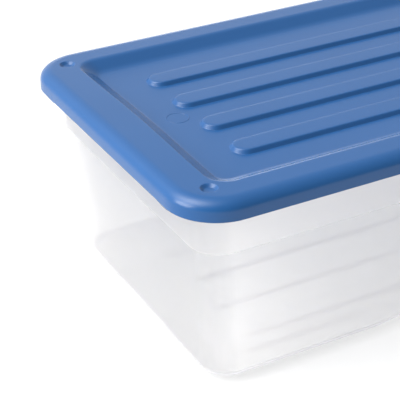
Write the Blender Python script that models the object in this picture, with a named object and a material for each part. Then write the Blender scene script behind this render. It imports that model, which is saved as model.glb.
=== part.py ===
"""Under-bed storage box: an open, milky tub and a lift-off lid with a recessed, ribbed panel.

Metres, +Z up. The origin is the centre of the plane that the four feet stand on. +X runs along the
box and +Y across it. Both mouldings are lofts of rounded rectangles, each given by its inset from the
lid's outline and its height, run from the underside's centre, up the outside and back over the top.
"""

import math

import bmesh
import bpy

# Driving dimensions
LID_LENGTH = 0.600
LID_WIDTH = 0.400
HEIGHT = 0.235
LID_CORNER_RADIUS = 0.054

LID_THICKNESS = 0.0022
SKIRT_BOTTOM = 0.215
ROLL_RUN = 0.0155
ROLL_DROP = 0.011
ROLL_DRAFT = 0.0005
ROLL_TURNS = (0.0, 22.5, 45.0, 67.5, 90.0)
UNDER_ROLL_RUN = 0.0062
UNDER_ROLL_DROP = 0.0043
RIM_WIDTH_SIDE = 0.035
RIM_WIDTH_END = 0.043
RECESS_DEPTH = 0.0105
RECESS_SLOPE = math.radians(31.5)
RECESS_CORNER_TOP = 0.023
RECESS_CORNER_FOOT = 0.012
SIDE_EDGE_RADIUS = 0.012
SIDE_FOOT_RADIUS = 0.020
END_EDGE_RADIUS = 0.0025
END_FOOT_RADIUS = 0.0090
RECESS_LEVELS = (0.0, 0.04, 0.15, 0.35, 0.60, 0.82, 0.95, 1.0)

TUB_THICKNESS = 0.0020
TUB_CORNER_RADIUS = 0.030
RIM_TOP_GAP = 0.0025
FLANGE_GAP = 0.0045
FLANGE_LIP = 0.0055
FLANGE_ROUND = 0.0012
BAND_INSET = 0.0225
BAND_BOTTOM = 0.166
BAND_STEP = 0.0045
WALL_DRAFT = 0.0715
WALL_INSET_AT_BAND = 0.0285
BOTTOM_RISE = 0.019
BOTTOM_RUN = 0.023
BOTTOM_TURNS = (25.0, 50.0, 75.0)
FOOT_WIDTH = 0.013
BASE_RISE = 0.0048
ARCH_RISE = 0.0042
ARCH_FLAT_HALF = 0.036
ARCH_END_HALF = 0.062
FOOT_CORNER = 0.020

RIB_ROWS = 4
RIB_PITCH = 0.0615
RIB_HALF_LENGTH = 0.200
RIB_BASE_HALF_WIDTH = 0.0155
RIB_TOP_HALF_WIDTH = 0.0125
RIB_HEIGHT = 0.0042

DIMPLE_INSET = 0.0364
DIMPLE_RADIUS = 0.0087
DIMPLE_DEPTH = 0.0030
BOSS_DEPTH = 0.0020
BOSS_RADIUS_LOW = 0.0076
BOSS_RADIUS_HIGH = 0.0104

LIP_CENTRE = 0.1345
LIP_HALF_CHORD = 0.0170
LIP_DROP = 0.0056
LIP_LEAN = 0.0026
LIP_FACE = 0.0010
LIP_BACK = 0.0020
LIP_ROOT = 0.0020
LIP_BURIED_END = 0.0005

CORNER_STEPS = 6
CIRCLE_STEPS = 20
LIP_STEPS = 8


def clear_scene():
    """Remove whatever the opened file holds."""
    for old in list(bpy.data.objects):
        bpy.data.objects.remove(old, do_unlink=True)


def material(name, colour, roughness, transmission=0.0):
    """A Principled material with one colour."""
    made = bpy.data.materials.new(name)
    made.use_nodes = True
    shader = made.node_tree.nodes["Principled BSDF"]
    shader.inputs["Base Color"].default_value = (*colour, 1.0)
    shader.inputs["Roughness"].default_value = roughness
    shader.inputs["Metallic"].default_value = 0.0
    shader.inputs["Transmission Weight"].default_value = transmission
    return made


def arch_amount(distance):
    """1 in the middle of a side, 0 at the feet, with a smooth ramp between."""
    ramp = (ARCH_END_HALF - abs(distance)) / (ARCH_END_HALF - ARCH_FLAT_HALF)
    ramp = min(max(ramp, 0.0), 1.0)
    return ramp * ramp * (3.0 - 2.0 * ramp)


def side_stations():
    """Places along each straight side that every loop shares, so that the arches have points."""
    middle = 0.5 * (ARCH_FLAT_HALF + ARCH_END_HALF)
    return (-ARCH_END_HALF, -middle, -ARCH_FLAT_HALF, ARCH_FLAT_HALF, middle, ARCH_END_HALF)


def loop_points(inset, height, radius, arch=0.0, end_extra=0.0):
    """One rounded rectangle, anticlockwise from above, raised by arch in the middle of each side."""
    half_x = 0.5 * LID_LENGTH - inset - end_extra
    half_y = 0.5 * LID_WIDTH - inset
    points = []
    for quarter in range(4):
        sign_x = 1.0 if quarter in (0, 3) else -1.0
        sign_y = 1.0 if quarter in (0, 1) else -1.0
        for step in range(CORNER_STEPS + 1):
            angle = 0.5 * math.pi * (quarter + step / CORNER_STEPS)
            x = sign_x * (half_x - radius) + radius * math.cos(angle)
            y = sign_y * (half_y - radius) + radius * math.sin(angle)
            points.append((x, y, height))
        for station in side_stations():
            lift = height + arch * arch_amount(station)
            side = {
                0: (-station, half_y),
                1: (-half_x, -station),
                2: (station, -half_y),
                3: (half_x, station),
            }[quarter]
            points.append((side[0], side[1], lift))
    return points


def loft(name, loops, surface):
    """A closed solid through a list of loops with equal point counts, capped at both ends."""
    mesh = bmesh.new()
    rings = []
    for points in loops:
        rings.append([mesh.verts.new(point) for point in points])
    count = len(rings[0])
    for lower, upper in zip(rings, rings[1:]):
        for i in range(count):
            j = (i + 1) % count
            mesh.faces.new((lower[i], lower[j], upper[j], upper[i]))
    mesh.faces.new(list(reversed(rings[0])))
    mesh.faces.new(rings[-1])
    data = bpy.data.meshes.new(name)
    mesh.to_mesh(data)
    mesh.free()
    data.materials.append(surface)
    made = bpy.data.objects.new(name, data)
    bpy.context.scene.collection.objects.link(made)
    return made


def join_as_cutter(name, stacks, surface):
    """Several closed stacks of loops in one hidden object, for a Boolean."""
    pieces = [loft(name, stack, surface) for stack in stacks]
    mesh = bmesh.new()
    for piece in pieces:
        mesh.from_mesh(piece.data)
        bpy.data.objects.remove(piece, do_unlink=True)
    bmesh.ops.recalc_face_normals(mesh, faces=mesh.faces[:])
    data = bpy.data.meshes.new(name)
    mesh.to_mesh(data)
    mesh.free()
    made = bpy.data.objects.new(name, data)
    bpy.context.scene.collection.objects.link(made)
    made.hide_render = True
    made.display_type = "WIRE"
    return made


def add_boolean(target, cutter, operation):
    """Join or cut with the exact solver."""
    modifier = target.modifiers.new(cutter.name, "BOOLEAN")
    modifier.operation = operation
    modifier.solver = "EXACT"
    modifier.object = cutter


def circle_points(centre, radius, height):
    """A level circle, anticlockwise from above."""
    points = []
    for step in range(CIRCLE_STEPS):
        angle = 2.0 * math.pi * step / CIRCLE_STEPS
        points.append((centre[0] + radius * math.cos(angle), centre[1] + radius * math.sin(angle), height))
    return points


def stadium_points(centre_y, half_length, half_width, height):
    """A level slot outline along X with round ends, anticlockwise from above."""
    points = []
    steps = CIRCLE_STEPS // 2
    for end in (1.0, -1.0):
        for step in range(steps + 1):
            angle = math.pi * (step / steps - 0.5) + (0.0 if end > 0.0 else math.pi)
            x = end * (half_length - half_width) + half_width * math.cos(angle)
            points.append((x, centre_y + half_width * math.sin(angle), height))
    return points


def rib_centres():
    """The ribs' places across the box."""
    first = -0.5 * (RIB_ROWS - 1) * RIB_PITCH
    return [first + row * RIB_PITCH for row in range(RIB_ROWS)]


def rib_stacks(base, bury, shrink):
    """Tapered bars that stand on the height base, and reach bury below it."""
    slope = (RIB_BASE_HALF_WIDTH - RIB_TOP_HALF_WIDTH) / RIB_HEIGHT
    spread = bury * slope
    top_inset = RIB_BASE_HALF_WIDTH - RIB_TOP_HALF_WIDTH
    stacks = []
    for y in rib_centres():
        low = stadium_points(
            y, RIB_HALF_LENGTH - shrink + spread, RIB_BASE_HALF_WIDTH - shrink + spread, base - bury)
        high = stadium_points(
            y, RIB_HALF_LENGTH - shrink - top_inset, RIB_TOP_HALF_WIDTH - shrink, base + RIB_HEIGHT)
        stacks.append([low, high])
    return stacks


def add_ribs(target, top, thickness, surface):
    """Emboss the four lengthwise bars: raised on the upper face, hollow below."""
    raised = join_as_cutter(target.name + "_raised_ribs", rib_stacks(top, 0.5 * thickness, 0.0), surface)
    hollow_base = top - thickness
    hollow = join_as_cutter(
        target.name + "_rib_hollows", rib_stacks(hollow_base, 0.002, 0.7 * thickness), surface)
    add_boolean(target, raised, "UNION")
    add_boolean(target, hollow, "DIFFERENCE")


def wall_inset(height):
    """The drafted wall's outer inset at a height."""
    return WALL_INSET_AT_BAND + (BAND_BOTTOM - height) * WALL_DRAFT


def foot_outer():
    """The inset of the feet's outer edge, where the rounded lower corner of the wall ends."""
    return wall_inset(BOTTOM_RISE) + BOTTOM_RUN


def lower_corner_loops(degrees_list, skin):
    """The rounded corner between wall and base, skin away from its outer face."""
    loops = []
    for degrees in degrees_list:
        turn = math.radians(degrees)
        height = skin + (BOTTOM_RISE - skin) * (1.0 - math.cos(turn))
        inset = foot_outer() - (BOTTOM_RUN - skin) * math.sin(turn)
        fade = 1.0 - height / BOTTOM_RISE
        corner = FOOT_CORNER + (TUB_CORNER_RADIUS - FOOT_CORNER - 0.5 * skin) * math.sin(turn)
        loops.append(loop_points(inset, height, corner, ARCH_RISE * fade))
    return loops


def tub_outer_loops():
    """From the raised base, over the feet and up the outside to the flange."""
    foot_inner = foot_outer() + FOOT_WIDTH
    radius = TUB_CORNER_RADIUS
    loops = [
        loop_points(foot_inner + BASE_RISE, BASE_RISE, FOOT_CORNER - 0.006),
        loop_points(foot_inner, 0.0, FOOT_CORNER - 0.004, ARCH_RISE),
        loop_points(foot_outer(), 0.0, FOOT_CORNER, ARCH_RISE),
    ]
    loops += lower_corner_loops(BOTTOM_TURNS, 0.0)
    loops += [
        loop_points(wall_inset(0.030), 0.030, radius),
        loop_points(wall_inset(BAND_BOTTOM - 0.002), BAND_BOTTOM - 0.002, radius),
        loop_points(BAND_INSET + 0.6 * BAND_STEP, BAND_BOTTOM, radius + 0.001),
        loop_points(BAND_INSET + 0.001, BAND_BOTTOM + 0.0035, radius + 0.002),
    ]
    return loops


def tub_rim_loops():
    """The flange: out under the lid, down its short outer lip, up, and back to the opening."""
    top = HEIGHT - LID_THICKNESS - RIM_TOP_GAP
    underside = top - TUB_THICKNESS
    outer = LID_THICKNESS + FLANGE_GAP
    lip_inner = outer + TUB_THICKNESS
    lip_bottom = underside - FLANGE_LIP
    opening = BAND_INSET + TUB_THICKNESS
    corner = LID_CORNER_RADIUS
    return [
        loop_points(BAND_INSET - 0.001, underside, corner - BAND_INSET),
        loop_points(lip_inner + 0.0005, underside, corner - lip_inner),
        loop_points(lip_inner, lip_bottom, corner - lip_inner),
        loop_points(outer, lip_bottom, corner - outer),
        loop_points(outer, top - FLANGE_ROUND, corner - outer),
        loop_points(outer + FLANGE_ROUND, top, corner - outer - FLANGE_ROUND),
        loop_points(opening - 0.001, top, corner - opening),
        loop_points(opening, top - FLANGE_ROUND, corner - opening),
    ]


def tub_inner_loops():
    """Down the inside to the floor, one wall thickness from the outside."""
    skin = TUB_THICKNESS
    foot_inner = foot_outer() + FOOT_WIDTH
    radius = TUB_CORNER_RADIUS
    loops = [
        loop_points(BAND_INSET + skin + 0.001, BAND_BOTTOM + 0.0015, radius - 0.001),
        loop_points(wall_inset(BAND_BOTTOM) + skin, BAND_BOTTOM - 0.0055, radius - skin),
        loop_points(wall_inset(0.030) + skin, 0.030, radius - skin),
    ]
    loops += lower_corner_loops(reversed(BOTTOM_TURNS), skin)
    loops += [
        loop_points(foot_outer(), skin, FOOT_CORNER, ARCH_RISE),
        loop_points(foot_inner - 0.001, skin, FOOT_CORNER - 0.003, ARCH_RISE),
        loop_points(foot_inner + BASE_RISE - 0.001, BASE_RISE + skin, FOOT_CORNER - 0.005),
    ]
    return loops


def build_tub():
    """The tub, with its ribbed floor."""
    surface = material("milky_polypropylene", (0.86, 0.88, 0.90), 0.35, transmission=0.5)
    tub = loft("tub", tub_outer_loops() + tub_rim_loops() + tub_inner_loops(), surface)
    add_ribs(tub, BASE_RISE + TUB_THICKNESS, TUB_THICKNESS, surface)
    return tub


def recess_run(drop, edge_radius, foot_radius):
    """How far in the recess wall has come at a drop below the rim: an arc, a straight slope, an arc."""
    edge_drop = edge_radius * (1.0 - math.cos(RECESS_SLOPE))
    foot_drop = foot_radius * (1.0 - math.cos(RECESS_SLOPE))
    straight_run = (RECESS_DEPTH - edge_drop - foot_drop) / math.tan(RECESS_SLOPE)
    if drop < edge_drop:
        return math.sqrt(edge_radius ** 2 - (edge_radius - drop) ** 2)
    if drop <= RECESS_DEPTH - foot_drop:
        return edge_radius * math.sin(RECESS_SLOPE) + (drop - edge_drop) / math.tan(RECESS_SLOPE)
    rest = RECESS_DEPTH - drop
    whole = (edge_radius + foot_radius) * math.sin(RECESS_SLOPE) + straight_run
    return whole - math.sqrt(foot_radius ** 2 - (foot_radius - rest) ** 2)


def recess_loops(rim_level, shift):
    """Down the recess wall from the rim to the panel; the ends have a crisper edge than the sides."""
    loops = []
    for level in RECESS_LEVELS:
        drop = level * RECESS_DEPTH
        side = RIM_WIDTH_SIDE + recess_run(drop, SIDE_EDGE_RADIUS, SIDE_FOOT_RADIUS)
        end = RIM_WIDTH_END + recess_run(drop, END_EDGE_RADIUS, END_FOOT_RADIUS)
        corner = RECESS_CORNER_TOP + (RECESS_CORNER_FOOT - RECESS_CORNER_TOP) * level
        loops.append(loop_points(side - shift, rim_level - drop, corner, end_extra=end - side))
    return loops


def lid_under_loops():
    """From the panel's underside out to the skirt's inner face."""
    skin = LID_THICKNESS
    corner = LID_CORNER_RADIUS
    shift = skin * math.tan(0.5 * RECESS_SLOPE)
    loops = list(reversed(recess_loops(HEIGHT - skin, shift)))
    loops += [
        loop_points(ROLL_RUN, HEIGHT - skin, corner - ROLL_RUN),
        loop_points(UNDER_ROLL_RUN, HEIGHT - UNDER_ROLL_DROP, corner - UNDER_ROLL_RUN),
        loop_points(skin + ROLL_DRAFT, HEIGHT - ROLL_DROP, corner - skin),
        loop_points(skin, SKIRT_BOTTOM, corner - skin),
    ]
    return loops


def lid_outer_loops():
    """Up the skirt, over the rolled edge, across the rim and down to the panel."""
    corner = LID_CORNER_RADIUS
    loops = [loop_points(0.0, SKIRT_BOTTOM, corner)]
    for degrees in ROLL_TURNS:
        turn = math.radians(degrees)
        inset = ROLL_DRAFT + (ROLL_RUN - ROLL_DRAFT) * (1.0 - math.cos(turn))
        height = HEIGHT - ROLL_DROP * (1.0 - math.sin(turn))
        loops.append(loop_points(inset, height, corner - inset))
    return loops + recess_loops(HEIGHT, 0.0)


def dimple_centres():
    """One at each corner of the rim."""
    x = 0.5 * LID_LENGTH - DIMPLE_INSET
    y = 0.5 * LID_WIDTH - DIMPLE_INSET
    return [(sx * x, sy * y) for sx in (1.0, -1.0) for sy in (1.0, -1.0)]


def dimple_bosses():
    """Discs under the rim that leave a thinner wall below the dimples, clear of the tub's flange."""
    low = HEIGHT - LID_THICKNESS - BOSS_DEPTH
    return [[
        circle_points(centre, BOSS_RADIUS_LOW, low),
        circle_points(centre, BOSS_RADIUS_HIGH, HEIGHT - 0.5 * LID_THICKNESS),
    ] for centre in dimple_centres()]


def dimple_bowls():
    """Shallow spherical hollows sunk into the rim, reaching above it to cut cleanly."""
    sphere = (DIMPLE_RADIUS ** 2 + DIMPLE_DEPTH ** 2) / (2.0 * DIMPLE_DEPTH)
    stacks = []
    for centre in dimple_centres():
        rings = []
        for part in (0.25, 0.55, 0.8, 1.0, 1.08):
            radius = DIMPLE_RADIUS * part
            depth = math.sqrt(sphere ** 2 - radius ** 2) - (sphere - DIMPLE_DEPTH)
            rings.append(circle_points(centre, radius, HEIGHT - depth))
        stacks.append(rings)
    return stacks


def snap_lip_section(end, y, hang):
    """A lip's section across the skirt: its root inside the skirt, its tip leaning in as it hangs."""
    outer = 0.5 * LID_LENGTH - LIP_FACE
    inner = 0.5 * LID_LENGTH - LIP_BACK
    root = SKIRT_BOTTOM + LIP_ROOT
    tip = SKIRT_BOTTOM + LIP_BURIED_END - (LIP_DROP + LIP_BURIED_END) * hang
    return [
        (end * outer, y, root),
        (end * (outer - LIP_LEAN * hang), y, tip),
        (end * (inner - LIP_LEAN * hang), y, tip),
        (end * inner, y, root),
    ]


def snap_lip_stacks():
    """Thin curved lips that lean in under the skirt near the corners of both short ends."""
    stacks = []
    for end in (1.0, -1.0):
        for side in (1.0, -1.0):
            sections = []
            for step in range(LIP_STEPS + 1):
                part = 2.0 * step / LIP_STEPS - 1.0
                y = side * LIP_CENTRE + LIP_HALF_CHORD * part
                sections.append(snap_lip_section(end, y, 1.0 - part * part))
            stacks.append(sections)
    return stacks


def build_lid():
    """The lid, with its dimples, snap lips and embossed ribs."""
    surface = material("blue_polypropylene", (0.10, 0.22, 0.46), 0.38)
    lid = loft("lid", lid_under_loops() + lid_outer_loops(), surface)
    add_boolean(lid, join_as_cutter("lid_dimple_bosses", dimple_bosses(), surface), "UNION")
    add_boolean(lid, join_as_cutter("lid_dimple_bowls", dimple_bowls(), surface), "DIFFERENCE")
    add_boolean(lid, join_as_cutter("lid_snap_lips", snap_lip_stacks(), surface), "UNION")
    add_ribs(lid, HEIGHT - RECESS_DEPTH, LID_THICKNESS, surface)
    return lid


def main():
    clear_scene()
    for made in (build_tub(), build_lid()):
        made.data.shade_smooth()
        made.data.set_sharp_from_angle(angle=math.radians(30.0))


main()
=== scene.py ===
"""Looks of the under-bed box: fine surfaces and materials for the milky tub and the blue lid.

Both mouldings are lofts of rounded rectangles. A profile is a list of stations, each with its inset
from the lid's outline and its height; its corners are rounded before the loops are made. Level areas
with raised ribs, dimples or a ring are filled around those features.
"""

import math
from collections import namedtuple

import bmesh
import bpy
from mathutils import Matrix, Vector


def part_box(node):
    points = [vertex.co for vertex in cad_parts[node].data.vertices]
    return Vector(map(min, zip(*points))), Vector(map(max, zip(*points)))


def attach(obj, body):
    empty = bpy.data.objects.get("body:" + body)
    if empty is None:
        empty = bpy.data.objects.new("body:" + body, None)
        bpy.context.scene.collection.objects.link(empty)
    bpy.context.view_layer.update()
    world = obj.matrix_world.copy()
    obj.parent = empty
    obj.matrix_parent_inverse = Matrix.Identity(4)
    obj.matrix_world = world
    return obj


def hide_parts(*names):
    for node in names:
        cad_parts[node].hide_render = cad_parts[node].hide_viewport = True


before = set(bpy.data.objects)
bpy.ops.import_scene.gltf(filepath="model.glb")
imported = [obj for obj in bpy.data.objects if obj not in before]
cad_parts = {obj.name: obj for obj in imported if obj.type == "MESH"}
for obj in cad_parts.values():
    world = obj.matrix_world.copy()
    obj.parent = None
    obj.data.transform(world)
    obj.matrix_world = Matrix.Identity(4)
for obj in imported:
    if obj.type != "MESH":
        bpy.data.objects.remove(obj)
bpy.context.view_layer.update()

# Sizes taken from the frame
LID_LOW, LID_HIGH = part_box("lid")
TUB_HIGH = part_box("tub")[1]
HALF_X = LID_HIGH.x
HALF_Y = LID_HIGH.y
TOP = LID_HIGH.z
TUB_TOP = TUB_HIGH.z
FLANGE_INSET = HALF_X - TUB_HIGH.x

# Lid
LIP_DROP = 0.0056
LIP_LEAN = 0.0026
SKIRT_BOTTOM = LID_LOW.z + LIP_DROP
LID_SKIN = 0.0022
LID_CORNER = 0.054
ROLL_RUN = 0.0155
ROLL_DROP = 0.011
RIM_SIDE = 0.035
RIM_END = 0.043
RECESS_DEPTH = 0.0105
RECESS_SLOPE = math.radians(31.5)
RECESS_CORNER_TOP = 0.023
RECESS_CORNER_FOOT = 0.012
SIDE_EDGE_RADIUS = 0.012
SIDE_FOOT_RADIUS = 0.020
END_EDGE_RADIUS = 0.0016
END_FOOT_RADIUS = 0.0050
END_BOW = 0.0020
LIP_CENTRE = 0.1345
LIP_HALF_CHORD = 0.017
DIMPLE_INSET = 0.0364
DIMPLE_RADIUS = 0.0087
DIMPLE_DEPTH = 0.0030
RING_X = -0.2115
RING_RADIUS = 0.0117
RING_WIDTH = 0.0009
RING_HEIGHT = 0.0003

# Ribs, alike on the lid's panel and on the tub's floor
RIB_ROWS = 4
RIB_PITCH = 0.0615
RIB_HALF_LENGTH = 0.200
RIB_HALF_WIDTH = 0.0155
RIB_SLOPE_RUN = 0.0030
RIB_HEIGHT = 0.0042

# Tub
TUB_SKIN = 0.0020
TUB_CORNER = 0.030
BAND_INSET = 0.0225
BAND_BOTTOM = 0.166
BAND_MIDDLE = 0.200
BAND_STEP = 0.0022
BAND_STEP_INSIDE = 0.0035
FLANGE_LIP = 0.0055
WALL_MIDDLE = 0.090
WALL_INSET_AT_BAND = 0.0285
WALL_DRAFT = 0.0715
BOTTOM_RISE = 0.019
BOTTOM_RUN = 0.023
FOOT_CORNER = 0.020
FOOT_WIDTH = 0.013
BASE_RISE = 0.0048
ARCH_RISE = 0.0042
ARCH_FLAT_HALF = 0.036
ARCH_END_HALF = 0.062
BASE_TOP = 0.0135

# Brightness of the room in each direction
WORLD_FRONT = 0.27
WORLD_BACK = 1.04
WORLD_LEFT = 1.18
WORLD_RIGHT = 0.75

# Soft bright patches of the room: direction, falloff and strength
WORLD_PATCHES = [
    ((-0.48, 0.22, 0.85), 13.0, 9.0),
    ((0.42, 0.89, 0.05), 110.0, 2.6),
]

# The light table's sheet, with a painted contact shadow: its glow is dimmed by ambient occlusion near the
# box
SHEET_ALBEDO = 0.28
SHEET_GLOW = 1.02
SHEET_GLOW_SEEN = 0.72
CONTACT_REACH = 0.014
CONTACT_SHADE = 0.78
CONTACT_LIGHT = 0.85

# Fineness
CORNER_STEPS = 16
LONG_STEPS = 80
SHORT_STEPS = 50
ROUND_STEPS = 48
FILLET_STEPS = 5
ARC_STEPS = 14
SLOPE_STEPS = 5
RIB_STEPS = 36
MOST_TRIM = 0.48

# The lid's plastic: colours, pattern sizes per metre, grain height
LID_BLUE_DEEP = (0.0105, 0.071, 0.212, 1.0)
LID_BLUE_LIGHT = (0.0130, 0.079, 0.232, 1.0)
LID_FLOW_SCALE = 9.0
LID_GRAIN_SCALE = 1900.0
LID_GRAIN_HEIGHT = 0.00008
LID_GRAIN_STRENGTH = 0.22
LID_ROUGHNESS = (0.23, 0.27)
LID_IOR = 1.42

# The tub's plastic: colours by reflected light, by light from behind, and of what is seen through it
WALL_TINT_DEEP = (0.935, 0.930, 0.922, 1.0)
WALL_TINT_LIGHT = (0.945, 0.940, 0.932, 1.0)
# Milkier band plastic, and painted light: its lighter colour also lifts the band out of the shade under
# the lid's skirt
BAND_MILK_AND_PAINTED_LIGHT = (0.985, 0.980, 0.970, 1.0)
WALL_GLOW = (0.955, 0.950, 0.943, 1.0)
BAND_GLOW = (0.990, 0.980, 0.966, 1.0)
# Painted shade: a darker colour on the steep faces of the base, the feet and the floor's ribs, standing in
# for the dark lines of shade there
PAINTED_SLOPE_SHADE = (0.850, 0.842, 0.856, 1.0)
CLEAR_TINT = (0.966, 0.963, 0.961, 1.0)
HAZE_SCALE = 14.0
TUB_ROUGHNESS = 0.30
TUB_IOR = 1.49

# Shares of the tub's plastic: glow in the walls and band and in the base, clear squarely and at a slant
GLOW_IN_WALLS = 0.94
GLOW_IN_BASE = 0.64
CLEAR_SQUARE = 0.84
CLEAR_SLANTED = 0.24
CLEAR_MOST = 0.74
CLEAR_IN_THICK = 0.35
REGION_EDGE = 0.001

# The tub's sheen on upright faces, and how level a face of the base is where the painted slope shade
# starts and ends
UPRIGHT_SHEEN = 0.3
SLOPE_SHADE_START = 0.98
SLOPE_SHADE_END = 0.60

# One point of a profile. Inset and height place it, and fillet rounds the profile there. The rest shapes
# its loop: corner radius, extra inset at both ends, lift and lean by a shape function, bow of the ends.
Station = namedtuple("Station", "inset height fillet corner ends lift lean bow")


def station(inset, height, fillet=0.0, corner=None, ends=0.0, lift=0.0, lean=0.0, bow=0.0):
    """One point of a profile. Its corner radius stays concentric with the lid's unless it is given."""
    if corner is None:
        corner = LID_CORNER - inset
    return Station(inset, height, fillet, corner, ends, lift, lean, bow)


def between(a, b, part):
    """The station a share of the way from a to b."""
    return Station(*[x + (y - x) * part for x, y in zip(a, b)])


def round_corner(before, here, after):
    """Stations along the arc that replaces a profile's corner."""
    p = Vector((here.inset, here.height))
    to_before = Vector((before.inset, before.height)) - p
    to_after = Vector((after.inset, after.height)) - p
    angle = to_before.angle(to_after)
    nearly_straight = abs(math.pi - angle) < 0.01
    if here.fillet <= 0.0 or nearly_straight:
        return [here]
    most = MOST_TRIM * min(to_before.length, to_after.length)
    trim = min(here.fillet / math.tan(0.5 * angle), most)
    radius = trim * math.tan(0.5 * angle)
    first = between(here, before, trim / to_before.length)
    last = between(here, after, trim / to_after.length)
    bisector = (to_before.normalized() + to_after.normalized()).normalized()
    centre = p + bisector * (radius / math.sin(0.5 * angle))
    arm = Vector((first.inset, first.height)) - centre
    far = Vector((last.inset, last.height)) - centre
    sweep = arm.angle(far)
    arc = []
    for step in range(FILLET_STEPS + 1):
        part = step / FILLET_STEPS
        mixed = between(first, last, part)
        turned = arm * math.sin((1.0 - part) * sweep) + far * math.sin(part * sweep)
        spot = centre + turned / math.sin(sweep)
        arc.append(mixed._replace(inset=spot.x, height=spot.y))
    return arc


def rounded(profile):
    """A profile with every inner corner rounded by its own fillet."""
    result = [profile[0]]
    for before, here, after in zip(profile, profile[1:], profile[2:]):
        result += round_corner(before, here, after)
    result.append(profile[-1])
    return result


def flat_outline(spot):
    """A station's rounded rectangle as X and Y, anticlockwise. Its bow pulls both ends' middles in."""
    half_x = HALF_X - spot.inset - spot.ends
    half_y = HALF_Y - spot.inset
    straight_x = half_x - spot.corner
    straight_y = half_y - spot.corner
    flat = []
    for quarter in range(4):
        sign_x = 1.0 if quarter in (0, 3) else -1.0
        sign_y = 1.0 if quarter in (0, 1) else -1.0
        for step in range(CORNER_STEPS + 1):
            angle = 0.5 * math.pi * (quarter + step / CORNER_STEPS)
            x = sign_x * straight_x + spot.corner * math.cos(angle)
            y = sign_y * straight_y + spot.corner * math.sin(angle)
            flat.append((x, y))
        steps = LONG_STEPS if quarter in (0, 2) else SHORT_STEPS
        for step in range(1, steps):
            along = 2.0 * step / steps - 1.0
            end_x = half_x - spot.bow * math.cos(0.5 * math.pi * along) ** 2
            flat.append({
                0: (-along * straight_x, half_y),
                1: (-end_x, -along * straight_y),
                2: (along * straight_x, -half_y),
                3: (end_x, along * straight_y),
            }[quarter])
    return flat


def outline(spot, shape):
    """A station's loop. shape(x, y) scales its lift in Z and its lean in X."""
    points = []
    for x, y in flat_outline(spot):
        amount = shape(x, y)
        points.append((x - math.copysign(spot.lean * amount, x), y, spot.height + spot.lift * amount))
    return points


def circle(centre, radius, height):
    """A level circle, anticlockwise from above."""
    points = []
    for step in range(ROUND_STEPS):
        angle = 2.0 * math.pi * step / ROUND_STEPS
        points.append((centre[0] + radius * math.cos(angle), centre[1] + radius * math.sin(angle), height))
    return points


def stadium(centre_y, half_length, half_width, height):
    """A level slot outline along X with round ends, anticlockwise from above."""
    points = []
    arc_steps = ROUND_STEPS // 2
    reach = half_length - half_width
    for end in (1.0, -1.0):
        turn = 0.0 if end > 0.0 else math.pi
        for step in range(arc_steps + 1):
            angle = math.pi * (step / arc_steps - 0.5) + turn
            x = end * reach + half_width * math.cos(angle)
            points.append((x, centre_y + half_width * math.sin(angle), height))
        for step in range(1, RIB_STEPS):
            x = end * reach * (1.0 - 2.0 * step / RIB_STEPS)
            points.append((x, centre_y + end * half_width, height))
    return points


class Moulding:
    """A closed skin put together from rings of vertices."""

    def __init__(self, name):
        self.name = name
        self.mesh = bmesh.new()

    def ring(self, points):
        return [self.mesh.verts.new(point) for point in points]

    def bridge(self, lower, upper):
        count = len(lower)
        for i in range(count):
            j = (i + 1) % count
            self.mesh.faces.new((lower[i], lower[j], upper[j], upper[i]))

    def loft(self, loops):
        """Join the loops in order. Returns the first and the last ring."""
        rings = [self.ring(points) for points in loops]
        for lower, upper in zip(rings, rings[1:]):
            self.bridge(lower, upper)
        return rings[0], rings[-1]

    def cap(self, ring):
        self.mesh.faces.new(ring)

    def fill(self, rings):
        """Close the level area inside the first ring and outside the others."""
        edges = []
        for ring in rings:
            for a, b in zip(ring, ring[1:] + ring[:1]):
                edge = self.mesh.edges.get((a, b)) or self.mesh.edges.new((a, b))
                edges.append(edge)
        bmesh.ops.triangle_fill(self.mesh, use_beauty=True, edges=edges, normal=(0.0, 0.0, 1.0))

    def finish(self, material):
        """Turn the skin outwards, shade it smooth and link it."""
        bmesh.ops.recalc_face_normals(self.mesh, faces=self.mesh.faces[:])
        data = bpy.data.meshes.new(self.name)
        self.mesh.to_mesh(data)
        self.mesh.free()
        data.materials.append(material)
        data.shade_smooth()
        made = bpy.data.objects.new(self.name, data)
        bpy.context.scene.collection.objects.link(made)
        return made


def rib_centres():
    """The ribs' places across the box."""
    first = -0.5 * (RIB_ROWS - 1) * RIB_PITCH
    return [first + row * RIB_PITCH for row in range(RIB_ROWS)]


def add_ribs(moulding, base, shrink, foot_fillet, top_fillet):
    """Raise the four bars from a level base. Returns the rings that the base is filled around."""
    feet = []
    for y in rib_centres():
        profile = [
            station(-2.5 * foot_fillet, base),
            station(-1.5 * foot_fillet, base),
            station(0.0, base, fillet=foot_fillet),
            station(RIB_SLOPE_RUN, base + RIB_HEIGHT, fillet=top_fillet),
            station(RIB_SLOPE_RUN + 2.0 * top_fillet, base + RIB_HEIGHT),
            station(RIB_SLOPE_RUN + 3.0 * top_fillet, base + RIB_HEIGHT),
        ]
        loops = []
        for spot in rounded(profile):
            inset = spot.inset + shrink
            loops.append(stadium(y, RIB_HALF_LENGTH - inset, RIB_HALF_WIDTH - inset, spot.height))
        foot, head = moulding.loft(loops)
        moulding.cap(head)
        feet.append(foot)
    return feet


def dimple_centres():
    """One at each corner of the rim."""
    x = HALF_X - DIMPLE_INSET
    y = HALF_Y - DIMPLE_INSET
    return [(sx * x, sy * y) for sx in (1.0, -1.0) for sy in (1.0, -1.0)]


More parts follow.
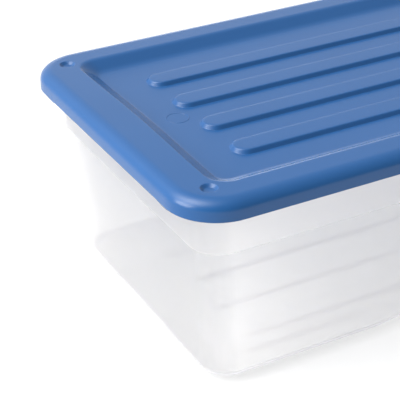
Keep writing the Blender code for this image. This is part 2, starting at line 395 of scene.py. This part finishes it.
def add_bowls(moulding, level, radius, depth, edge_fillet):
    """Sink a round bowl at each corner of the rim. Returns the rings that the rim is filled around."""
    mouths = []
    for centre in dimple_centres():
        profile = [
            station(-2.5 * edge_fillet, level),
            station(-1.5 * edge_fillet, level),
            station(0.0, level, fillet=edge_fillet),
            station(0.40 * radius, level - 0.95 * depth, fillet=0.3 * radius),
            station(0.85 * radius, level - depth),
            station(0.92 * radius, level - depth),
        ]
        loops = [circle(centre, radius - spot.inset, spot.height) for spot in rounded(profile)]
        mouth, bottom = moulding.loft(loops)
        moulding.cap(bottom)
        mouths.append(mouth)
    return mouths


def add_ring_mark(moulding, level):
    """A thin raised ring. Returns the ring that the panel is filled around; the disc inside is closed."""
    half = 0.5 * RING_WIDTH
    soft = 0.3 * RING_WIDTH
    profile = [
        station(-3.0 * half, level),
        station(-2.0 * half, level),
        station(-half, level, fillet=soft),
        station(-0.4 * half, level + RING_HEIGHT, fillet=soft),
        station(0.4 * half, level + RING_HEIGHT, fillet=soft),
        station(half, level, fillet=soft),
        station(2.0 * half, level),
        station(3.0 * half, level),
    ]
    loops = [circle((RING_X, 0.0), RING_RADIUS - spot.inset, spot.height) for spot in rounded(profile)]
    outside, inside = moulding.loft(loops)
    moulding.cap(inside)
    return outside


def lip_shape(x, y):
    """1 in the middle of a snap lip, 0 away from the lips: they sit near the ends' corners."""
    if abs(x) < HALF_X - LID_CORNER:
        return 0.0
    part = (abs(y) - LIP_CENTRE) / LIP_HALF_CHORD
    return max(0.0, 1.0 - part * part)


def roll_profile(level, run, drop, inset):
    """A quarter of an ellipse from the level rim out and down to the skirt."""
    spots = []
    for step in range(ARC_STEPS + 1):
        turn = 0.5 * math.pi * step / ARC_STEPS
        out = inset + (run - inset) * (1.0 - math.sin(turn))
        spots.append(station(out, level - drop * (1.0 - math.cos(turn))))
    return spots


def lid_skin_profile():
    """From the rim's flat top out over the roll, down the skirt, round its lower edge, and back under."""
    under = TOP - LID_SKIN
    margin = 0.0010
    rim = [station(ROLL_RUN + 2.0 * margin, TOP), station(ROLL_RUN + margin, TOP)]
    edge = [
        station(0.0, SKIRT_BOTTOM, fillet=0.0004),
        station(0.0009, SKIRT_BOTTOM - 0.0001),
        station(0.0010, SKIRT_BOTTOM - 0.0001, lift=-0.55 * LIP_DROP, lean=0.45 * LIP_LEAN),
        station(0.0010, SKIRT_BOTTOM - 0.0002, lift=-LIP_DROP + 0.0002, lean=LIP_LEAN),
        station(LID_SKIN - 0.0004, SKIRT_BOTTOM - 0.0002, lift=-LIP_DROP + 0.0002, lean=LIP_LEAN),
        station(LID_SKIN - 0.0001, SKIRT_BOTTOM, lift=-0.5 * LIP_DROP, lean=0.5 * LIP_LEAN),
        station(LID_SKIN, SKIRT_BOTTOM + 0.0004),
    ]
    below = list(reversed(roll_profile(under, ROLL_RUN + 0.001, ROLL_DROP - 0.002, LID_SKIN + 0.0004)))
    back = [station(ROLL_RUN + 2.0 * margin, under), station(ROLL_RUN + 3.0 * margin, under)]
    return rim + roll_profile(TOP, ROLL_RUN, ROLL_DROP, 0.0004) + edge + below + back


def recess_run(drop, edge_radius, foot_radius):
    """How far in the recess wall has come at a drop below the rim: an arc, a straight slope, an arc."""
    edge_drop = edge_radius * (1.0 - math.cos(RECESS_SLOPE))
    foot_drop = foot_radius * (1.0 - math.cos(RECESS_SLOPE))
    straight_run = (RECESS_DEPTH - edge_drop - foot_drop) / math.tan(RECESS_SLOPE)
    if drop < edge_drop:
        return math.sqrt(edge_radius ** 2 - (edge_radius - drop) ** 2)
    if drop <= RECESS_DEPTH - foot_drop:
        return edge_radius * math.sin(RECESS_SLOPE) + (drop - edge_drop) / math.tan(RECESS_SLOPE)
    rest = RECESS_DEPTH - drop
    whole = (edge_radius + foot_radius) * math.sin(RECESS_SLOPE) + straight_run
    return whole - math.sqrt(max(foot_radius ** 2 - (foot_radius - rest) ** 2, 0.0))


def recess_drops():
    """The wall's heights below the rim, close together where it curves."""
    edge_drop = SIDE_EDGE_RADIUS * (1.0 - math.cos(RECESS_SLOPE))
    foot_drop = SIDE_FOOT_RADIUS * (1.0 - math.cos(RECESS_SLOPE))
    slope_drop = RECESS_DEPTH - edge_drop - foot_drop
    upper = [edge_drop * (step / ARC_STEPS) ** 2 for step in range(ARC_STEPS + 1)]
    middle = [edge_drop + slope_drop * step / SLOPE_STEPS for step in range(1, SLOPE_STEPS)]
    lower = [RECESS_DEPTH - foot_drop * (step / ARC_STEPS) ** 2 for step in range(ARC_STEPS, -1, -1)]
    return upper + middle + lower


def recess_profile(rim_level, shift):
    """From the level rim down the sloped wall to the panel. The ends have crisper edges than the sides."""
    margin = 0.0008
    spots = []
    for drop in recess_drops():
        side = RIM_SIDE + recess_run(drop, SIDE_EDGE_RADIUS, SIDE_FOOT_RADIUS) - shift
        end = RIM_END + recess_run(drop, END_EDGE_RADIUS, END_FOOT_RADIUS) - shift
        part = drop / RECESS_DEPTH
        corner = RECESS_CORNER_TOP + (RECESS_CORNER_FOOT - RECESS_CORNER_TOP) * part
        spots.append(station(side, rim_level - drop, corner=corner, ends=end - side, bow=END_BOW))
    top = spots[0]
    foot = spots[-1]
    before = [top._replace(inset=top.inset - k * margin, corner=top.corner + k * margin) for k in (2, 1)]
    after = [foot._replace(inset=foot.inset + k * margin) for k in (1, 2)]
    return before + spots + after


def build_lid(material):
    """Both faces of the lid, joined round the skirt's lower edge."""
    lid = Moulding("lid_moulding")
    skirt = [outline(spot, lip_shape) for spot in rounded(lid_skin_profile())]
    rim_top, rim_under = lid.loft(skirt)
    wall = [outline(spot, lip_shape) for spot in recess_profile(TOP, 0.0)]
    rim_edge, panel_edge = lid.loft(wall)
    bowls = add_bowls(lid, TOP, DIMPLE_RADIUS, DIMPLE_DEPTH, edge_fillet=0.0008)
    lid.fill([rim_top, rim_edge] + bowls)
    panel = TOP - RECESS_DEPTH
    feet = add_ribs(lid, panel, shrink=0.0, foot_fillet=0.0008, top_fillet=0.0026)
    lid.fill([panel_edge, add_ring_mark(lid, panel)] + feet)

    under = TOP - LID_SKIN
    shift = LID_SKIN * math.tan(0.5 * RECESS_SLOPE)
    wall = [outline(spot, lip_shape) for spot in recess_profile(under, shift)]
    rim_edge, panel_edge = lid.loft(wall)
    bosses = add_bowls(lid, under, DIMPLE_RADIUS + 0.001, 0.0020, edge_fillet=0.0006)
    lid.fill([rim_under, rim_edge] + bosses)
    feet = add_ribs(lid, panel - LID_SKIN, shrink=0.0015, foot_fillet=0.0009, top_fillet=0.0008)
    lid.fill([panel_edge] + feet)
    return lid.finish(material)


def arch_amount(distance):
    """1 in the middle of a side, 0 at the feet, with a smooth ramp between."""
    ramp = (ARCH_END_HALF - abs(distance)) / (ARCH_END_HALF - ARCH_FLAT_HALF)
    ramp = min(max(ramp, 0.0), 1.0)
    return ramp * ramp * (3.0 - 2.0 * ramp)


def arch_shape(x, y):
    """The arches between the feet, in the middle of all four sides."""
    return arch_amount(x) + arch_amount(y)


def wall_inset(height):
    """The drafted wall's outer inset at a height."""
    return WALL_INSET_AT_BAND + (BAND_BOTTOM - height) * WALL_DRAFT


def foot_profile(skin):
    """The feet and the rounded lower corner, from the base outwards; skin is 0 for the outer face."""
    foot_outer = wall_inset(BOTTOM_RISE) + BOTTOM_RUN
    foot_inner = foot_outer + FOOT_WIDTH
    base = BASE_RISE + skin
    base_edge = foot_inner + BASE_RISE - skin
    spots = [
        station(base_edge + 0.0040, base, corner=0.012),
        station(base_edge + 0.0030, base, corner=0.012),
        station(base_edge, base, fillet=0.003, corner=0.014),
        station(foot_inner - 0.5 * skin, skin, fillet=0.003, corner=0.016, lift=ARCH_RISE),
        station(foot_outer, skin, corner=FOOT_CORNER, lift=ARCH_RISE),
    ]
    for step in range(1, 2 * ARC_STEPS):
        turn = 0.5 * math.pi * step / (2 * ARC_STEPS)
        height = skin + (BOTTOM_RISE - skin) * (1.0 - math.cos(turn))
        inset = foot_outer - (BOTTOM_RUN - skin) * math.sin(turn)
        corner = FOOT_CORNER + (TUB_CORNER - FOOT_CORNER - 0.5 * skin) * math.sin(turn)
        fade = 1.0 - height / BOTTOM_RISE
        spots.append(station(inset, height, corner=corner, lift=ARCH_RISE * fade))
    return spots


def band_profile():
    """Up the outer wall, over the step and up the band to the flange's underside."""
    step_low = BAND_BOTTOM - BAND_STEP
    underside = TUB_TOP - TUB_SKIN
    return [
        station(wall_inset(WALL_MIDDLE), WALL_MIDDLE, corner=TUB_CORNER),
        station(wall_inset(step_low), step_low, fillet=0.0012, corner=TUB_CORNER),
        station(BAND_INSET + 0.0010, BAND_BOTTOM + 0.0004, fillet=0.0026, corner=TUB_CORNER + 0.002),
        station(BAND_INSET, BAND_MIDDLE),
        station(BAND_INSET, underside, fillet=0.0015),
    ]


def flange_profile():
    """Out under the flange, round its down-turned lip, and back over the top to the opening."""
    underside = TUB_TOP - TUB_SKIN
    lip_inner = FLANGE_INSET + TUB_SKIN
    lip_bottom = underside - FLANGE_LIP
    opening = BAND_INSET + TUB_SKIN
    return [
        station(lip_inner, underside, fillet=0.0010),
        station(lip_inner, lip_bottom, fillet=0.0007),
        station(FLANGE_INSET, lip_bottom, fillet=0.0007),
        station(FLANGE_INSET, TUB_TOP, fillet=0.0018),
        station(opening, TUB_TOP, fillet=0.0015),
    ]


def inner_wall_profile():
    """Down the inside of the band and over the step, one skin from the outside."""
    opening = BAND_INSET + TUB_SKIN
    step_low = BAND_BOTTOM - BAND_STEP_INSIDE
    return [
        station(opening, BAND_MIDDLE),
        station(opening + 0.0008, BAND_BOTTOM - 0.0006, fillet=0.0015, corner=TUB_CORNER),
        station(wall_inset(step_low) + TUB_SKIN, step_low, fillet=0.0030, corner=TUB_CORNER - TUB_SKIN),
        station(wall_inset(WALL_MIDDLE) + TUB_SKIN, WALL_MIDDLE, corner=TUB_CORNER - TUB_SKIN),
    ]


def build_tub(material):
    """Both faces of the tub, joined over the flange."""
    tub = Moulding("tub_moulding")
    inside = list(reversed(foot_profile(TUB_SKIN)))
    profile = foot_profile(0.0) + band_profile() + flange_profile() + inner_wall_profile() + inside
    base_edge, floor_edge = tub.loft([outline(spot, arch_shape) for spot in rounded(profile)])
    feet = add_ribs(tub, BASE_RISE, shrink=0.0014, foot_fillet=0.0009, top_fillet=0.0007)
    tub.fill([base_edge] + feet)
    feet = add_ribs(tub, BASE_RISE + TUB_SKIN, shrink=0.0, foot_fillet=0.0010, top_fillet=0.0009)
    tub.fill([floor_edge] + feet)
    return tub.finish(material)


class Nodes:
    """A short way to write the node tree of a material or a world."""

    def __init__(self, owner):
        owner.use_nodes = True
        self.tree = owner.node_tree
        self.tree.nodes.clear()

    def add(self, kind, inputs=None, **settings):
        """Make a node. Its inputs, by name or number, take other nodes' sockets or plain values."""
        node = self.tree.nodes.new(kind)
        for key, value in settings.items():
            setattr(node, key, value)
        for key, value in (inputs or {}).items():
            socket = node.inputs[key]
            if isinstance(value, bpy.types.NodeSocket):
                self.tree.links.new(value, socket)
            else:
                socket.default_value = value
        return node

    def noise(self, place, scale, detail=2.0):
        """Smooth noise around one half."""
        inputs = {"Vector": place, "Scale": scale, "Detail": detail}
        return self.add("ShaderNodeTexNoise", inputs).outputs[0]

    def calculate(self, operation, *values):
        """One step of arithmetic on sockets or numbers."""
        return self.add("ShaderNodeMath", dict(enumerate(values)), operation=operation).outputs[0]

    def ramp(self, value, start, stop, low=0.0, high=1.0):
        """Map start to stop onto low to high, and hold the ends."""
        inputs = {"Value": value, "From Min": start, "From Max": stop, "To Min": low, "To Max": high}
        return self.add("ShaderNodeMapRange", inputs).outputs["Result"]

    def spread(self, value, low, high):
        """Map a 0 to 1 value onto a range."""
        return self.ramp(value, 0.0, 1.0, low, high)

    def mix_colour(self, factor, a, b):
        """Blend two colours. Inputs 6 and 7 and output 2 are the mix node's colour sockets."""
        return self.add("ShaderNodeMix", {0: factor, 6: a, 7: b}, data_type="RGBA").outputs[2]

    def mix_shader(self, factor, a, b):
        """Blend two shader nodes."""
        return self.add("ShaderNodeMixShader", {0: factor, 1: a.outputs[0], 2: b.outputs[0]})

    def output(self, kind, surface):
        """End the tree with an output node of this kind."""
        self.add(kind, {"Surface": surface.outputs[0]})


def new_material(name):
    """A material, and its node tree to fill."""
    material = bpy.data.materials.new(name)
    return material, Nodes(material)


def lid_material():
    """Satin blue polypropylene: even pigment, a fine moulded grain and faint flow variation."""
    material, nodes = new_material("blue_polypropylene")
    place = nodes.add("ShaderNodeTexCoord").outputs["Object"]
    flow = nodes.noise(place, LID_FLOW_SCALE)
    bump = nodes.add("ShaderNodeBump", {
        "Height": nodes.noise(place, LID_GRAIN_SCALE, detail=3.0),
        "Strength": LID_GRAIN_STRENGTH,
        "Distance": LID_GRAIN_HEIGHT,
    })
    shader = nodes.add("ShaderNodeBsdfPrincipled", {
        "Base Color": nodes.mix_colour(flow, LID_BLUE_DEEP, LID_BLUE_LIGHT),
        "Roughness": nodes.spread(flow, *LID_ROUGHNESS),
        "IOR": LID_IOR,
        "Normal": bump.outputs[0],
    })
    nodes.output("ShaderNodeOutputMaterial", shader)
    return material


def tub_regions(nodes, place):
    """How far a point belongs to the level parts, the band, the base and the base's slopes, which take a
    painted shade.
    """
    normal = nodes.add("ShaderNodeNewGeometry").outputs["True Normal"]
    upright = nodes.add("ShaderNodeSeparateXYZ", {0: normal}).outputs["Z"]
    level = nodes.calculate("ABSOLUTE", upright)
    height = nodes.add("ShaderNodeSeparateXYZ", {0: place}).outputs["Z"]
    band = nodes.ramp(height, BAND_BOTTOM - REGION_EDGE, BAND_BOTTOM + REGION_EDGE)
    base = nodes.ramp(height, BASE_TOP + REGION_EDGE, BASE_TOP - REGION_EDGE)
    steep = nodes.ramp(level, SLOPE_SHADE_START, SLOPE_SHADE_END)
    # Mask of the painted shade: the steep faces within the base
    painted_slope_shade = nodes.calculate("MULTIPLY", base, steep)
    return level, band, base, painted_slope_shade


def clear_share(nodes, thick):
    """How much is seen straight through: most squarely through a wall, least through the thick parts."""
    facing = nodes.add("ShaderNodeLayerWeight", {"Blend": 0.30}).outputs["Facing"]
    wall = nodes.calculate("MINIMUM", nodes.spread(facing, CLEAR_SQUARE, CLEAR_SLANTED), CLEAR_MOST)
    return nodes.calculate("MULTIPLY", wall, nodes.spread(thick, 1.0, CLEAR_IN_THICK))


def tub_material():
    """Milky polypropylene. The walls are the clearest part; the band and the base are milkier."""
    material, nodes = new_material("milky_polypropylene")
    place = nodes.add("ShaderNodeTexCoord").outputs["Object"]
    level, band, base, painted_slope_shade = tub_regions(nodes, place)
    low = nodes.calculate("MAXIMUM", level, base)
    thick = nodes.calculate("MAXIMUM", low, band)

    walls = nodes.mix_colour(nodes.noise(place, HAZE_SCALE), WALL_TINT_DEEP, WALL_TINT_LIGHT)
    # The band's lighter colour: milkier plastic, and painted light against the shade under the lid
    skin = nodes.mix_colour(band, walls, BAND_MILK_AND_PAINTED_LIGHT)
    # The base's steep faces take the painted slope shade in the reflected colour
    body = nodes.add("ShaderNodeBsdfPrincipled", {
        "Base Color": nodes.mix_colour(painted_slope_shade, skin, PAINTED_SLOPE_SHADE),
        "Roughness": TUB_ROUGHNESS,
        "IOR": TUB_IOR,
        "Specular IOR Level": nodes.spread(level, UPRIGHT_SHEEN, 1.0),
    })
    through = nodes.mix_colour(band, WALL_GLOW, BAND_GLOW)
    # The base's steep faces take the painted slope shade in the transmitted colour too
    glow = nodes.add("ShaderNodeBsdfTranslucent", {"Color": nodes.mix_colour(painted_slope_shade, through, PAINTED_SLOPE_SHADE)})
    clear = nodes.add("ShaderNodeBsdfTransparent", {"Color": CLEAR_TINT})

    below_band = nodes.spread(low, GLOW_IN_WALLS, GLOW_IN_BASE)
    milky = nodes.mix_shader(nodes.spread(band, below_band, GLOW_IN_WALLS), body, glow)
    nodes.output("ShaderNodeOutputMaterial", nodes.mix_shader(clear_share(nodes, thick), milky, clear))
    return material


def floor_material():
    """The white sheet of a light table. It looks just white but for a painted contact shadow near the box,
    and lights the box more than that, less so near the box.
    """
    material, nodes = new_material("studio_floor")
    sheet = nodes.add("ShaderNodeBsdfDiffuse", {"Color": (SHEET_ALBEDO, SHEET_ALBEDO, SHEET_ALBEDO, 1.0)})
    path = nodes.add("ShaderNodeLightPath").outputs
    seen = nodes.calculate("MAXIMUM", path["Is Camera Ray"], path["Is Glossy Ray"])
    # Painted contact shadow: ambient occlusion dims the sheet's glow near the box, both as seen and as it
    # lights the box
    openness = nodes.add("ShaderNodeAmbientOcclusion", {"Distance": CONTACT_REACH}).outputs["AO"]
    lighting = nodes.spread(openness, SHEET_GLOW * CONTACT_LIGHT, SHEET_GLOW)
    looks = nodes.spread(openness, SHEET_GLOW_SEEN * CONTACT_SHADE, SHEET_GLOW_SEEN)
    lit = nodes.add("ShaderNodeEmission", {
        "Color": (1.0, 1.0, 1.0, 1.0),
        "Strength": nodes.spread(seen, lighting, looks),
    })
    both = nodes.add("ShaderNodeAddShader", {0: sheet.outputs[0], 1: lit.outputs[0]})
    nodes.output("ShaderNodeOutputMaterial", both)
    return material


def build_floor():
    """A wide level sheet that the box stands on."""
    half = 12.0
    data = bpy.data.meshes.new("studio_floor")
    corners = [(-half, -half, 0.0), (half, -half, 0.0), (half, half, 0.0), (-half, half, 0.0)]
    data.from_pydata(corners, [], [(0, 1, 2, 3)])
    data.materials.append(floor_material())
    floor = bpy.data.objects.new("studio_floor", data)
    bpy.context.scene.collection.objects.link(floor)


def add_softbox(name, place, target, width, height, power):
    """A rectangular area light that faces the target."""
    light = bpy.data.lights.new(name, "AREA")
    light.shape = "RECTANGLE"
    light.size = width
    light.size_y = height
    light.energy = power
    lamp = bpy.data.objects.new(name, light)
    lamp.location = place
    lamp.rotation_euler = (Vector(target) - Vector(place)).to_track_quat("-Z", "Y").to_euler()
    bpy.context.scene.collection.objects.link(lamp)


def soft_patch(nodes, direction, centre, falloff, strength):
    """Brightness that fades away from one direction."""
    axis = Vector(centre).normalized()
    towards = nodes.add("ShaderNodeVectorMath", {0: direction, 1: axis}, operation="DOT_PRODUCT")
    closeness = nodes.calculate("MAXIMUM", towards.outputs["Value"], 0.0)
    return nodes.calculate("MULTIPLY", nodes.calculate("POWER", closeness, falloff), strength)


def build_world():
    """A white room: bright behind the box and at its left, dim on the near side."""
    world = bpy.data.worlds.new("studio")
    nodes = Nodes(world)
    direction = nodes.add("ShaderNodeTexCoord").outputs["Generated"]
    split = nodes.add("ShaderNodeSeparateXYZ", {0: direction}).outputs
    across = nodes.ramp(split["Y"], -1.0, 1.0, WORLD_FRONT, WORLD_BACK)
    along = nodes.ramp(split["X"], -1.0, 1.0, WORLD_LEFT, WORLD_RIGHT)
    room = nodes.calculate("MULTIPLY", across, along)
    for patch in WORLD_PATCHES:
        room = nodes.calculate("ADD", room, soft_patch(nodes, direction, *patch))
    background = nodes.add("ShaderNodeBackground", {"Color": (1.0, 1.0, 1.0, 1.0), "Strength": room})
    nodes.output("ShaderNodeOutputWorld", background)
    bpy.context.scene.world = world


def build_studio():
    """Soft light from the left end, in a white room."""
    build_world()
    bpy.context.scene.view_settings.view_transform = "Standard"
    add_softbox(
        "key_left",
        place=(-2.4, 0.2, 1.1),
        target=(-0.1, 0.0, 0.1),
        width=1.4,
        height=1.2,
        power=45.0,
    )


def build_camera():
    """A long lens above the left front corner, looking down at the lid, with a slight roll."""
    azimuth = math.radians(-27.67)
    elevation = math.radians(29.34)
    roll = math.radians(-1.20)
    place = Vector((-0.7494, -1.0717, 0.8013))
    back = Vector((
        math.sin(azimuth) * math.cos(elevation),
        -math.cos(azimuth) * math.cos(elevation),
        math.sin(elevation),
    ))
    data = bpy.data.cameras.new("camera")
    data.lens = 116.3
    data.sensor_width = 36.0
    camera = bpy.data.objects.new("camera", data)
    turn = back.to_track_quat("Z", "Y").to_matrix() @ Matrix.Rotation(roll, 3, "Z")
    camera.matrix_world = Matrix.Translation(place) @ turn.to_4x4()
    bpy.context.scene.collection.objects.link(camera)
    bpy.context.scene.camera = camera


def main():
    lid = build_lid(lid_material())
    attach(lid, "lid")
    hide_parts("lid")
    tub = build_tub(tub_material())
    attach(tub, "tub")
    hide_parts("tub")
    build_floor()
    build_studio()
    build_camera()


main()
